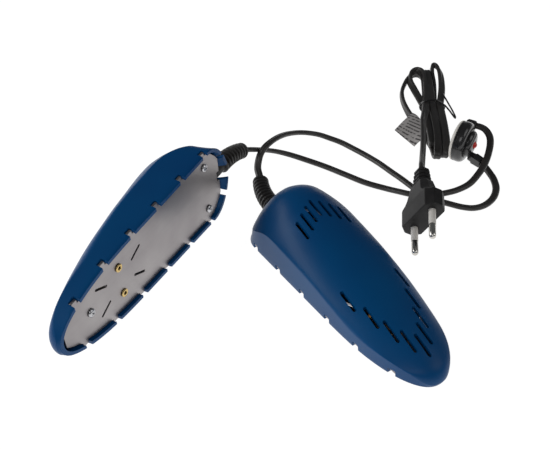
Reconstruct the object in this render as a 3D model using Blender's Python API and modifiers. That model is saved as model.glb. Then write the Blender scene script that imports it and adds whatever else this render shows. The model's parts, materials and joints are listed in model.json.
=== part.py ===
"""A pair of electric boot dryers: two vented heater shells on flat leads that meet in one junction,
with a mains cord tied in a hank and a two-pin plug. Built in metres, +Z up, standing on z = 0."""
import bpy
import bmesh
import math
from mathutils import Euler, Matrix, Vector

MM = 0.001
GAP = 0.3 * MM                      # clearance between pieces that touch

# ---- driving dimensions of one dryer; x runs heel to toe, z up from the rim ----
HEEL_X = -78.0 * MM
TOE_X = 73.2 * MM
WALL = 2.0 * MM
SPINE = (-50.0 * MM, 48.0 * MM)     # the rounded top closes onto this line
SIDE_WIDTH = 25.0                   # half width of the rim beside the heel, mm
SIDE_TAPER = 0.039                  # half width lost per mm towards the toe
# each list below is (x, value) in mm, read as a smooth curve along the dryer
LEAN = [(-78, 5.2), (-66, 2.0), (-55, -1.1), (-44, -1.2), (50, -1.2), (73.2, -0.8)]   # flank, inward
FLANK_TOP = [(-78, 5.9), (-66, 9.4), (-45, 19.8), (-25, 19.2), (-5, 17.6), (15, 14.3),
             (35, 10.5), (55, 9.6), (66, 7.2), (73.2, 2.0)]
CROWN = [(-78, 13.7), (-60, 13.2), (-40, 21.1), (-10, 21.2), (15, 17.8), (29, 15.4), (41, 12.8),
         (53, 10.2), (61, 9.2), (66, 8.7), (73.2, 9.1)]
HUMP = [(-78, 32.3), (-60, 23.7), (-45, 17.0), (-39, 14.6), (-27, 11.8), (-15, 9.5), (-5, 8.2),
        (5, 7.6), (18, 7.0), (73.2, 5.2)]

NOTCH_PITCH = 22.6 * MM
NOTCH_WIDTH = 4.3 * MM
NOTCH_TOP = 4.1 * MM
PLATE_Z = 2.2 * MM                  # outer face of the sole plate above the rim
PLATE_THICKNESS = 1.5 * MM
VENT_WIDTH = 2.0 * MM
VENT_LENGTH = 12.9 * MM
HEEL_VENTS = [(0, -41.1), (4.5, -38.5), (8.9, -35.4), (13.4, -32.9)]          # (|y|, heel end x) in mm
TOE_VENTS = [(0, 52.2), (4.9, 47.4), (9.0, 39.2), (12.8, 28.2), (16.8, 14.3)]
SCREW_SPOTS = [(-56.9, 14.9), (-56.9, -14.9), (48.4, 0.0)]
BOSS_TOPS = [28.3, 28.3, 16.0]
EYELET_X = 24.1 * MM
EYELET_Y = 8.9 * MM
CROSS_SLOT = (14.1, 7.4)            # centre of each diagonal plate slot from the eyelet line, mm
CROSS_SLOT_SIZE = (9.4, 1.4)
HEATER_X = 24.1 * MM

BOOT_AXIS_Z = 7.0 * MM
BOOT_TIP_X = -106.0 * MM
RIB_COUNT = 9
BOOT_RIBS = 26.2                    # length that the ribs take up, mm

# ---- where the two dryers stand: (location mm, rotation degrees, bend of the boot tip mm) ----
DRYERS = {
    "left": ((-53.46, -14.22, 24.65), (90.69, 3.35, -118.32), (-7.2, 0.0)),
    "right": ((50.53, -19.59, 0.0), (0.0, 0.0, -58.64), (7.4, 0.0)),
}


# ---- materials ----
def material(name, colour, roughness, metallic=0.0):
    made = bpy.data.materials.get(name)
    if made:
        return made
    made = bpy.data.materials.new(name)
    made.use_nodes = True
    shader = made.node_tree.nodes["Principled BSDF"]
    shader.inputs["Base Color"].default_value = (*colour, 1.0)
    shader.inputs["Roughness"].default_value = roughness
    shader.inputs["Metallic"].default_value = metallic
    made.diffuse_color = (*colour, 1.0)
    return made


BLUE = ("blue_plastic", (0.0, 0.045, 0.19), 0.38)
PLATE_STEEL = ("brushed_plate", (0.52, 0.51, 0.50), 0.35, 1.0)
STEEL = ("steel", (0.55, 0.55, 0.56), 0.3, 1.0)
BRASS = ("brass", (0.62, 0.45, 0.16), 0.28, 1.0)
CERAMIC = ("ceramic", (0.30, 0.28, 0.26), 0.7)
MICA = ("mica", (0.62, 0.52, 0.34), 0.5)
BLACK = ("black_rubber", (0.012, 0.012, 0.013), 0.5)
GREY = ("grey_plastic", (0.45, 0.45, 0.45), 0.5)
RED = ("red_lens", (0.55, 0.02, 0.01), 0.15)
GLASS = ("lamp_glass", (0.85, 0.62, 0.5), 0.1)
PAPER = ("paper", (0.75, 0.74, 0.72), 0.8)
NICKEL = ("nickel", (0.62, 0.6, 0.56), 0.22, 1.0)
BLUE_WIRE = ("blue_wire", (0.02, 0.10, 0.45), 0.5)
BROWN_WIRE = ("brown_wire", (0.16, 0.06, 0.02), 0.5)


# ---- object helpers ----
def collection(name):
    made = bpy.data.collections.new(name)
    bpy.context.scene.collection.children.link(made)
    return made


def add_object(name, mesh, finish, parent=None, sharp_angle=35):
    """Link a mesh as a named sub-part, shaded smooth up to sharp_angle degrees."""
    made = bpy.data.objects.new(name, mesh)
    PARTS.objects.link(made)
    mesh.materials.clear()
    mesh.materials.append(material(*finish))
    mesh.shade_smooth()
    mesh.set_sharp_from_angle(angle=math.radians(sharp_angle))
    made.parent = parent
    return made


def mesh_from(bm, name):
    bmesh.ops.recalc_face_normals(bm, faces=bm.faces)
    mesh = bpy.data.meshes.new(name)
    bm.to_mesh(mesh)
    bm.free()
    return mesh


def place(location=(0, 0, 0), rotation=(0, 0, 0)):
    return Matrix.Translation(Vector(location)) @ Euler(rotation).to_matrix().to_4x4()


def add_box(bm, size, matrix):
    bmesh.ops.create_cube(bm, size=1.0, matrix=matrix @ Matrix.Diagonal((*size, 1.0)))


def add_cylinder(bm, radius, depth, matrix, segments=24, radius_top=None):
    top = radius if radius_top is None else radius_top
    bmesh.ops.create_cone(bm, cap_ends=True, segments=segments, radius1=radius, radius2=top,
                          depth=depth, matrix=matrix)


def add_prism(bm, outline, depth, matrix):
    """A flat outline given thickness, centred on its own z = 0."""
    corners = [bm.verts.new(matrix @ Vector((x, y, -depth / 2))) for x, y in outline]
    lifted = bmesh.ops.extrude_face_region(bm, geom=[bm.faces.new(corners)])
    moved = [v for v in lifted["geom"] if isinstance(v, bmesh.types.BMVert)]
    bmesh.ops.translate(bm, verts=moved, vec=matrix.to_3x3() @ Vector((0, 0, depth)))


def box(name, size, centre, finish, parent=None, rotation=(0, 0, 0), bevel=0.0):
    bm = bmesh.new()
    add_box(bm, size, Matrix.Identity(4))
    made = add_object(name, mesh_from(bm, name), finish, parent)
    made.location = centre
    made.rotation_euler = rotation
    if bevel:
        rounding = made.modifiers.new("rounding", "BEVEL")
        rounding.width = bevel
        rounding.segments = 2
    return made


def turned(name, profile, finish, parent=None, location=(0, 0, 0), rotation=(0, 0, 0), steps=28):
    """Turn a (radius, height) profile, listed down its outer side, about the object's own z axis."""
    mesh = bpy.data.meshes.new(name)
    count = len(profile)
    on_axis = profile[0][0] == 0 and profile[-1][0] == 0
    edges = [(i, i + 1) for i in range(count - 1)] + ([] if on_axis else [(count - 1, 0)])
    mesh.from_pydata([(r, 0, z) for r, z in profile], edges, [])
    made = add_object(name, mesh, finish, parent)
    made.location = location
    made.rotation_euler = rotation
    screw = made.modifiers.new("turn", "SCREW")
    screw.steps = screw.render_steps = steps
    screw.use_merge_vertices = True
    screw.merge_threshold = 0.00001
    return made


def flat_piece(name, outline, thickness, finish, parent=None, location=(0, 0, 0), rotation=(0, 0, 0)):
    """A flat outline (x, y in metres) made a plate of this thickness, centred on its own z = 0."""
    curve = bpy.data.curves.new(name, "CURVE")
    curve.dimensions = "2D"
    curve.fill_mode = "BOTH"
    curve.extrude = thickness / 2
    spline = curve.splines.new("POLY")
    spline.points.add(len(outline) - 1)
    spline.use_cyclic_u = True
    for point, (x, y) in zip(spline.points, outline):
        point.co = (x, y, 0, 1)
    return placed(add_object(name, mesh_of_curve(curve), finish, parent), location, rotation)


def placed(made, location, rotation):
    made.location = location
    made.rotation_euler = rotation
    return made


def mesh_of_curve(curve):
    """The curve's evaluated mesh with its loose caps welded on."""
    guide = bpy.data.objects.new(curve.name, curve)
    bpy.context.scene.collection.objects.link(guide)
    seen = guide.evaluated_get(bpy.context.evaluated_depsgraph_get())
    mesh = bpy.data.meshes.new_from_object(seen)
    bpy.data.objects.remove(guide)
    bm = bmesh.new()
    bm.from_mesh(mesh)
    bmesh.ops.remove_doubles(bm, verts=bm.verts, dist=0.000001)
    bmesh.ops.recalc_face_normals(bm, faces=bm.faces)
    bm.to_mesh(mesh)
    bm.free()
    return mesh


def tube(name, points, radius, finish, parent=None, resolution=2):
    """A round tube through these points, with filled caps."""
    curve = bpy.data.curves.new(name, "CURVE")
    curve.dimensions = "3D"
    curve.bevel_depth = radius
    curve.bevel_resolution = resolution
    curve.use_fill_caps = True
    spline = curve.splines.new("POLY")
    spline.points.add(len(points) - 1)
    for point, co in zip(spline.points, points):
        point.co = (*co, 1)
    return add_object(name, mesh_of_curve(curve), finish, parent)


def boolean(target, operation, bm, parent=None, label="holes"):
    """Cut or join these shapes, which become one wire-shown cutter object."""
    name = f"{target.name}_{label}"
    cutter = bpy.data.objects.new(name, mesh_from(bm, name))
    CUTTERS.objects.link(cutter)
    cutter.parent = parent
    cutter.hide_render = True
    cutter.display_type = "WIRE"
    change = target.modifiers.new(label, "BOOLEAN")
    change.operation = operation
    change.object = cutter
    change.solver = "EXACT"


# ---- the form of the shell ----
def along(knots, x):
    """A smooth curve through (position, value) knots, read at x; all in mm."""
    spots = [k[0] for k in knots]
    x = min(max(x, spots[0]), spots[-1])
    i = max(0, min(len(knots) - 2, sum(1 for s in spots if s <= x) - 1))
    slopes = []
    for j in (i, i + 1):
        a, b = knots[max(j - 1, 0)], knots[min(j + 1, len(knots) - 1)]
        slopes.append((b[1] - a[1]) / (b[0] - a[0]))
    (x0, y0), (x1, y1) = knots[i], knots[i + 1]
    span = x1 - x0
    t = (x - x0) / span
    bend = t * t * (3 - 2 * t)
    return (y0 + (y1 - y0) * bend + span * t * (1 - t) * ((1 - t) * slopes[0] - t * slopes[1]))


def half_width(x):
    """Half width of the rim at x (metres): a straight taper closed by a full heel and a round toe."""
    x_mm = x / MM
    width = SIDE_WIDTH - SIDE_TAPER * (x_mm + 57)
    heel = max(0.0, (-58.3 - x_mm) / 19.7)
    toe = max(0.0, (x_mm - 5.7) / 67.5)
    width *= max(0.0, 1 - min(heel, 1) ** 2.1) ** 0.6
    width *= max(0.0, 1 - min(toe, 1) ** 2.83) ** 0.47
    return width * MM


def top_height(x, spread):
    """Height of the top at x, where spread is 0 on the spine and 1 at the top of the flank."""
    x_mm = x / MM
    flank = along(FLANK_TOP, x_mm)
    dome = (along(CROWN, x_mm) - flank) * max(0.0, 1 - spread ** 4.5) ** 0.36
    hump = along(HUMP, x_mm) * max(0.0, 1 - spread ** 2.4) ** 1.1
    return (flank + dome + hump) * MM


def rim_points(count):
    """Points round the rim, spaced closer at the heel and toe ends."""
    middle, reach = (HEEL_X + TOE_X) / 2, (TOE_X - HEEL_X) / 2
    points = []
    for i in range(count):
        angle = 2 * math.pi * i / count
        x = middle - reach * math.cos(angle)
        side = 1 if angle < math.pi else -1
        points.append(Vector((x, side * half_width(x), 0)))
    return points


def shell_rings(count):
    """Closed rings that run up inside the wall from the top to the rim, then up outside to the top."""
    rim = rim_points(count)
    outer, inner = [], []
    for level, inset, drop in ((0.0, 1.0, 0.0), (0.5, 1.0, 0.0), (1.0, 0.85, 0.45)):
        ring = []
        for p in rim:
            q = p + toward_spine(p) * along(LEAN, p.x / MM) * MM * level
            ring.append(Vector((q.x, q.y, along(FLANK_TOP, q.x / MM) * MM * level)))
        outer.append(ring)
        inner.append(lined(ring, inset, drop))
    edge = outer[-1]
    for spread, inset, drop in ((0.97, 0.7, 0.75), (0.89, 0.4, 0.95), (0.74, 0.15, 1.0), (0.5, 0.0, 1.0),
                                (0.25, 0.0, 1.0), (0.0, 0.0, 1.0)):
        ring = []
        for p in edge:
            spine = spine_point(p)
            q = spine + (Vector((p.x, p.y, 0)) - spine) * spread
            ring.append(Vector((q.x, q.y, top_height(q.x, spread))))
        outer.append(ring)
        inner.append(lined(ring, inset, drop))
    return inner[::-1] + outer


def spine_point(p):
    return Vector((min(max(p.x, SPINE[0]), SPINE[1]), 0, 0))


def toward_spine(p):
    return (spine_point(p) - Vector((p.x, p.y, 0))).normalized()


def lined(ring, inset, drop):
    """The inside of the wall behind a ring: moved in and down by parts of the wall thickness."""
    return [p + toward_spine(p) * WALL * inset - Vector((0, 0, WALL * drop)) for p in ring]


def loft(rings):
    """Join successive closed rings with quads."""
    bm = bmesh.new()
    rows = [[bm.verts.new(p) for p in ring] for ring in rings]
    count = len(rings[0])
    for lower, upper in zip(rows, rows[1:]):
        for i in range(count):
            j = (i + 1) % count
            bm.faces.new((lower[i], lower[j], upper[j], upper[i]))
    return bm


def swept(name, centres, radii, finish, parent=None, segments=12):
    """A round piece that follows a path: one ring per centre, ends closed."""
    bm = bmesh.new()
    rows = []
    for i, (centre, radius) in enumerate(zip(centres, radii)):
        ahead = Vector(centres[min(i + 1, len(centres) - 1)]) - Vector(centres[max(i - 1, 0)])
        turn = ahead.to_track_quat("Z", "Y")
        rows.append([bm.verts.new(Vector(centre) + turn @ Vector((
            radius * math.cos(2 * math.pi * k / segments),
            radius * math.sin(2 * math.pi * k / segments), 0))) for k in range(segments)])
    for lower, upper in zip(rows, rows[1:]):
        for k in range(segments):
            bm.faces.new((lower[k], lower[(k + 1) % segments], upper[(k + 1) % segments], upper[k]))
    bm.faces.new(rows[0])
    bm.faces.new(rows[-1])
    return add_object(name, mesh_from(bm, name), finish, parent)


# ---- one dryer ----
def notch_stations():
    """The rim notches: x, half width there."""
    return [((i - 2.5) * NOTCH_PITCH, half_width((i - 2.5) * NOTCH_PITCH)) for i in range(6)]


def vents():
    """Every top vent: centre x, y."""
    spots = []
    for y, start in HEEL_VENTS + TOE_VENTS:
        for side in ((1, -1) if y else (1,)):
            spots.append((start * MM + VENT_LENGTH / 2, side * y * MM))
    return spots


def make_top_shell(side, frame):
    bm = loft(shell_rings(44))
    bmesh.ops.remove_doubles(bm, verts=bm.verts, dist=0.02 * MM)
    shell = add_object(f"{side}_top_shell", mesh_from(bm, "top_shell"), BLUE, frame)
    posts = bmesh.new()
    for (x, y), top in zip(SCREW_SPOTS, BOSS_TOPS):
        height = top - 4.4
        add_cylinder(posts, 2.6 * MM, height * MM, place((x * MM, y * MM, (4.4 + height / 2) * MM)), 16)
    boolean(shell, "UNION", posts, frame, "posts")

    openings = bmesh.new()
    for x, y in vents():
        add_box(openings, (VENT_LENGTH, VENT_WIDTH, 30 * MM), place((x, y, 25.5 * MM)))
    boolean(shell, "DIFFERENCE", openings, frame, "vents")

    cuts = bmesh.new()
    for x, y in SCREW_SPOTS:
        add_cylinder(cuts, 1.5 * MM, 10 * MM, place((x * MM, y * MM, 8.4 * MM)), 12)
    for x, half in notch_stations():
        for way in (1, -1):
            add_box(cuts, (NOTCH_WIDTH, 9 * MM, NOTCH_TOP + 2 * MM),
                    place((x, way * half, NOTCH_TOP / 2 - 1 * MM)))
    for way in (1, -1):
        add_box(cuts, (7 * MM, 3.4 * MM, NOTCH_TOP + 2 * MM),
                place((-72.9 * MM, way * 14.0 * MM, NOTCH_TOP / 2 - 1 * MM), (0, 0, way * -0.6)))
    arch = [(4.8 * MM, -1 * MM)]
    for i in range(13):
        angle = math.pi * i / 12
        arch.append((4.8 * MM * math.cos(angle), BOOT_AXIS_Z + 4.8 * MM * math.sin(angle)))
    arch.append((-4.8 * MM, -1 * MM))
    add_prism(cuts, arch, 15 * MM, place((-76 * MM, 0, 0), (math.pi / 2, 0, math.pi / 2)))
    boolean(shell, "DIFFERENCE", cuts, frame, "notches")


def plate_edge(x):
    """Half width of the plate at x: inside the wall, and more so where the wall leans in at the ends."""
    lean = max(0.0, -60 * MM - x) * 0.42 + max(0.0, x - 55 * MM) * 0.12
    return half_width(x) - WALL - 0.5 * MM - lean


def plate_outline():
    """The plate inside the rim, with an ear in each notch and a slot round the cord boot."""
    ear = NOTCH_WIDTH / 2 - 0.35 * MM
    outline = [(-68.4 * MM, 3.2 * MM), (-70.8 * MM, 3.2 * MM), (-70.8 * MM, plate_edge(-70.8 * MM))]
    for x in (-68.5, -65.0):
        outline.append((x * MM, plate_edge(x * MM)))
    for spot, half in notch_stations():
        inner = plate_edge(spot)
        outline += [(spot - ear, inner + SIDE_TAPER * ear), (spot - ear, half - 0.3 * MM),
                    (spot + ear, half - 0.5 * MM), (spot + ear, inner - SIDE_TAPER * ear)]
        if spot + NOTCH_PITCH < TOE_X:
            middle = spot + NOTCH_PITCH / 2
            outline.append((middle, plate_edge(middle)))
    for x in (62.0, 65.5, 68.0):
        outline.append((x * MM, plate_edge(x * MM)))
    return outline + [(x, -y) for x, y in reversed(outline)]


def make_sole_plate(side, frame):
    plate = flat_piece(f"{side}_sole_plate", plate_outline(), PLATE_THICKNESS, PLATE_STEEL, frame,
                       (0, 0, PLATE_Z + PLATE_THICKNESS / 2))
    cuts = bmesh.new()
    middle = PLATE_Z + PLATE_THICKNESS / 2
    for x, y in SCREW_SPOTS:
        add_cylinder(cuts, 1.5 * MM, 6 * MM, place((x * MM, y * MM, middle)), 16)
    for way in (1, -1):
        add_cylinder(cuts, 1.75 * MM, 6 * MM, place((EYELET_X, way * EYELET_Y, middle)), 20)
        for end in (1, -1):
            centre = (HEATER_X + end * CROSS_SLOT[0] * MM, way * CROSS_SLOT[1] * MM, middle)
            add_box(cuts, (CROSS_SLOT_SIZE[0] * MM, CROSS_SLOT_SIZE[1] * MM, 6 * MM),
                    place(centre, (0, 0, way * end * math.radians(27))))
    boolean(plate, "DIFFERENCE", cuts, frame)


def make_fixings(side, frame):
    head = PLATE_Z - GAP
    for number, (x, y) in enumerate(SCREW_SPOTS, 1):
        profile = [(0, 9.4), (1.1, 8.4), (1.1, 0), (1.9, 0), (1.9, -0.7), (1.2, -1.2), (0, -1.3)]
        turned(f"{side}_screw_{number}", [(r * MM, z * MM) for r, z in profile], STEEL, frame,
               (x * MM, y * MM, head), steps=12)
    for number, way in enumerate((1, -1), 1):
        profile = [(1.0, 3.9), (2.2, 3.9), (2.2, 3.4), (1.4, 3.4), (1.4, 0), (2.3, 0), (2.3, -0.4),
                   (1.9, -0.7), (1.0, -0.4)]
        turned(f"{side}_eyelet_{number}", [(r * MM, z * MM) for r, z in profile], BRASS, frame,
               (EYELET_X, way * EYELET_Y, head), steps=14)


def make_heater(side, frame):
    top = 12.4
    half_hat = [(11.4, 4.3), (11.4, 5.1), (6.6, 5.1), (6.6, top), (0, top)]
    inner = [(0, top - 0.8), (5.8, top - 0.8), (5.8, 4.3)]
    hat = half_hat + [(-y, z) for y, z in reversed(half_hat[:-1])]
    hat += [(-y, z) for y, z in reversed(inner[1:])] + inner[1:]
    bracket = flat_piece(f"{side}_heater_bracket", [(y * MM, z * MM) for y, z in hat], 9 * MM, STEEL, frame,
                         (HEATER_X, 0, 0), (math.pi / 2, 0, math.pi / 2))
    cuts = bmesh.new()
    for way in (1, -1):
        add_cylinder(cuts, 1.75 * MM, 4 * MM, place((EYELET_X, way * EYELET_Y, 4.7 * MM)), 16)
    boolean(bracket, "DIFFERENCE", cuts, frame)
    stack = (("lower_mica_pad", 31, 10.6, 4.4, 0.5, MICA), ("lower_contact_plate", 31, 9.6, 5.2, 0.5, BRASS),
             ("ptc_element", 29, 9.2, 6.0, 3.4, CERAMIC), ("upper_contact_plate", 31, 9.6, 9.7, 0.5, BRASS),
             ("upper_mica_pad", 31, 10.6, 10.5, 0.7, MICA))
    for name, length, width, base, height, finish in stack:
        box(f"{side}_{name}", (length * MM, width * MM, height * MM),
            (HEATER_X, 0, (base + height / 2) * MM), finish, frame)


def make_wiring(side, frame):
    def path(*points):
        return smooth([Vector(p) * MM for p in points], 10)
    turned(f"{side}_thermal_fuse", [(r * MM, z * MM) for r, z in
           [(0, 5), (1.3, 5), (1.9, 4.3), (1.9, -4.3), (1.3, -5), (0, -5)]], CERAMIC, frame,
           (-22 * MM, 4 * MM, 10 * MM), (0, math.pi / 2, 0), 12)
    tube(f"{side}_live_wire_1", path((-55.6, 1, 7), (-50, 2.2, 8.0), (-40, 4, 10), (-27.4, 4, 10)),
         0.7 * MM, BROWN_WIRE, frame)
    tube(f"{side}_live_wire_2", path((-16.6, 4, 10), (-8, 3.4, 10.2), (0, 2.2, 10), (8.3, 2, 9.95)),
         0.7 * MM, BROWN_WIRE, frame)
    tube(f"{side}_neutral_wire", path((-55.6, -1, 7), (-48, -3, 6.8), (-25, -5, 6.4), (-5, -3.4, 5.6), (8.3, -2, 5.45)),
         0.7 * MM, BLUE_WIRE, frame)
    tube(f"{side}_cord_tail", [(x * MM, 0, BOOT_AXIS_Z) for x in (-68.6, -65, -60, -56)], 1.9 * MM, BLACK, frame, 3)
    box(f"{side}_cord_clamp", (5 * MM, 13 * MM, 2.4 * MM), (-62 * MM, 0, BOOT_AXIS_Z + 3.5 * MM), BLACK, frame,
        bevel=0.4 * MM)


def boot_centre(x, bend):
    """The bent centre line of the boot, in dryer coordinates, at distance x (metres)."""
    free = max(0.0, (-80 * MM - x) / (-80 * MM - BOOT_TIP_X))
    return Vector((x, bend[0] * MM * free ** 2, BOOT_AXIS_Z + bend[1] * MM * free ** 2))


def make_boot(side, frame, bend):
    """Strain relief: a flange inside, a groove in the wall, then ribs along a bent sleeve."""
    centres, radii = [], []
    for x, radius in ((-69.0, 3.4), (-69.1, 4.2), (-79.4, 4.2), (-79.5, 5.4)):
        centres.append(boot_centre(x * MM, bend))
        radii.append(radius * MM)
    first, pitch = -79.6, BOOT_RIBS / RIB_COUNT
    for rib in range(RIB_COUNT):
        crest = 5.4 - 1.0 * rib / RIB_COUNT
        core = 3.6 - 0.5 * rib / RIB_COUNT
        start = first - rib * pitch
        for step, radius in ((0.05, crest), (0.5, crest), (0.62, core), (0.98, core)):
            centres.append(boot_centre((start - step * pitch) * MM, bend))
            radii.append(radius * MM)
    swept(f"{side}_cord_boot", centres, radii, BLACK, frame)


def make_dryer(side):
    location, rotation, bend = DRYERS[side]
    frame = bpy.data.objects.new(f"{side}_dryer_frame", None)
    PARTS.objects.link(frame)
    frame.location = Vector(location) * MM
    frame.rotation_euler = [math.radians(a) for a in rotation]
    make_top_shell(side, frame)
    make_sole_plate(side, frame)
    make_fixings(side, frame)
    make_heater(side, frame)
    make_wiring(side, frame)
    make_boot(side, frame, bend)


# ---- cords ----
def smooth(points, count):
    """Evenly spaced points on a smooth curve through the route's own points."""
    points = [Vector(p) for p in points]
    ends = [2 * points[0] - points[1]] + points + [2 * points[-1] - points[-2]]
    fine = []
    for a, b, c, d in zip(ends, ends[1:], ends[2:], ends[3:]):
        for step in range(16):
            t = step / 16
            fine.append(0.5 * ((2 * b) + (c - a) * t + (2 * a - 5 * b + 4 * c - d) * t * t
                               + (3 * b - a - 3 * c + d) * t * t * t))
    fine.append(points[-1])
    lengths = [0.0]
    for a, b in zip(fine, fine[1:]):
        lengths.append(lengths[-1] + (b - a).length)
    result, k = [], 0
    for i in range(count):
        want = lengths[-1] * i / (count - 1)
        while k < len(fine) - 2 and lengths[k + 1] < want:
            k += 1
        part = (want - lengths[k]) / max(lengths[k + 1] - lengths[k], 1e-9)
        result.append(fine[k].lerp(fine[k + 1], min(max(part, 0), 1)))
    return result


# ---- the cord set; every route is in mm and is the cord's real run ----
CORD_RADIUS = 1.6 * MM
LEFT_ROUTE = [(-9.0, 82.85, 23.45), (-7.4, 85.5, 22.2), (-2.5, 90.5, 19), (3.5, 98.3, 13.5), (11.4, 104.4, 8.3),
              (20.6, 105.7, 4.8), (31.4, 103.1, 2.4), (43.4, 96.5, 1.8), (55.8, 87.5, 1.8), (67.9, 78.7, 1.8),
              (79.8, 71.8, 2.4), (87.1, 66.4, 4), (93.8, 61.9, 5.3), (100.2, 60, 5.7), (107.7, 60.5, 5.6),
              (115.4, 62.7, 5.4), (123.4, 66, 5.3), (132, 71.9, 5.6), (139, 80.2, 7), (145.2, 90, 9),
              (150, 101.6, 12), (151.4, 109.3, 15.5), (149.8, 115.5, 17.4), (147, 118.6, 18), (144.1, 120.1, 18.1)]
RIGHT_ROUTE = [(1.7, 75.1, 7.05), (0.8, 78.4, 8), (-0.2, 82.9, 10.5), (0.9, 87.4, 15.5), (3, 91, 18.3),
               (6.3, 96.5, 19.2), (11.6, 105.3, 18), (17.3, 114.3, 15), (23.3, 121.3, 11.8), (29.3, 126.2, 9),
               (35.5, 129, 6.6), (41.5, 129.8, 4.8), (48.3, 127.9, 3.3), (55.8, 124.4, 2.2), (63.8, 117.2, 1.8),
               (71.5, 109.1, 1.8), (78.9, 100.3, 1.8), (85.9, 90.4, 1.8), (91.8, 82.2, 1.8), (98.2, 72.6, 1.8),
               (104.5, 65.2, 1.8), (111.1, 59.9, 1.8), (117.9, 56.4, 1.8), (124.7, 53.4, 1.8),
               (131.8, 52.4, 1.8), (139.1, 55.4, 1.8), (145.6, 62.5, 1.8), (149.5, 71.8, 1.8),
               (150.2, 81.2, 2), (148.6, 87.4, 3), (145.3, 95, 5)]
PLUG_ROUTE = [(98.35, 59.5, 25.1), (99.1, 64.4, 24.9), (101.3, 74.6, 20.4), (103.9, 87.3, 16.2), (106.3, 99.6, 14),
              (108.4, 112.1, 13.5), (110.3, 124.9, 13.4), (112.1, 138.1, 13.4), (115, 152.4, 13.4)]
TAIL_ROUTE = [(127.95, 109.6, 8), (127.7, 109.76, 8), (127.45, 109.92, 8)]
HANK_ENDS = ((118, 110.6, 8.6), (121, 212.1, 13.9))      # centre x, y and radius of each round end, mm
HANK_LEVELS = (1.5, 11.5)
TIE_ROUTE = [(133.8, 179.4, 9), (133.2, 171.6, 9.8), (132.9, 166.1, 11.8), (131, 165, 12.9), (108.5, 164.3, 12.9),
             (106.2, 164.2, 12), (105.8, 163.8, 6.5), (106, 163.4, 1.8), (108.4, 163.2, 0.72),
             (130.6, 162.7, 0.72), (132.8, 162.4, 1.8), (133.1, 161.6, 7.5), (133.4, 155.6, 9.5),
             (135.4, 143.6, 8.5)]
JUNCTION_PLACE = ((131.2, 109.0, 13.8), -32.0)           # rear rim centre mm, turn of its axis from +x
# each gland: name, (back, up, along) from the rear rim centre in mm, turn towards the front
GLANDS = (("upper_gland", (16.1, 4.3, 1.9), 0), ("lower_gland", (-3.1, -8.8, 16.2), 24))
GLAND_REACH = 3.0                                        # half the length of a gland, mm
PLUG_PLACE = ((94.5, 22.0, 17.0), (-63.75, -62.16, -29.44))


def make_junction():
    """The round junction where both leads meet the mains cord, with its indicator lamp."""
    spot, turn = JUNCTION_PLACE
    frame = bpy.data.objects.new("junction_frame", None)
    PARTS.objects.link(frame)
    frame.location = Vector(spot) * MM
    frame.rotation_euler = (0, math.pi / 2, math.radians(turn))
    pieces = {
        "junction_housing": ([(8.8, 6.4), (11.5, 6.2), (13.0, 5.0), (13.4, 3.6), (13.4, 0), (11.8, 0),
                              (11.8, 3.6), (11.0, 4.7), (8.8, 4.9)], BLACK, 28),
        "junction_rear_cover": ([(0, -0.3), (13.4, -0.3), (13.4, -1.6), (12.4, -2.4), (0, -2.4)], GREY, 28),
        "junction_front_cap": ([(2.1, 10.5), (7.2, 10.5), (8.5, 9.6), (8.5, 3.0), (2.1, 3.0)], BLACK, 24),
        "indicator_lens": ([(0, 11.5), (1.1, 11.2), (1.8, 10.5), (1.8, 7.4), (0, 7.4)], RED, 16),
        "neon_lamp": ([(0, 7.0), (1.2, 6.6), (1.8, 5.6), (1.8, 1.6), (0, 1.6)], GLASS, 12),
    }
    for name, (profile, finish, steps) in pieces.items():
        turned(name, [(r * MM, z * MM) for r, z in profile], finish, frame, steps=steps)
    # the axis of the junction is its own z; its own x points down, its own y points back
    for name, (back, up, middle), turn in GLANDS:
        profile = [(0, GLAND_REACH), (2.5, GLAND_REACH), (3.0, GLAND_REACH - 0.5), (3.0, -GLAND_REACH),
                   (0, -GLAND_REACH)]
        turned(name, [(r * MM, z * MM) for r, z in profile], BLACK, frame,
               (-up * MM, back * MM, middle * MM), (math.radians(turn), 0, 0), 16)


def plug_section(half_width_mm, half_depth_mm, end_flat, back):
    """An eight-sided ring across the plug; back is its distance behind the front face."""
    side = half_width_mm - (half_depth_mm - end_flat) * 0.95
    corners = [(half_width_mm, end_flat), (side, half_depth_mm), (-side, half_depth_mm),
               (-half_width_mm, end_flat), (-half_width_mm, -end_flat), (-side, -half_depth_mm),
               (side, -half_depth_mm), (half_width_mm, -end_flat)]
    return [Vector((x * MM, y * MM, back * MM)) for x, y in corners]


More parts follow.
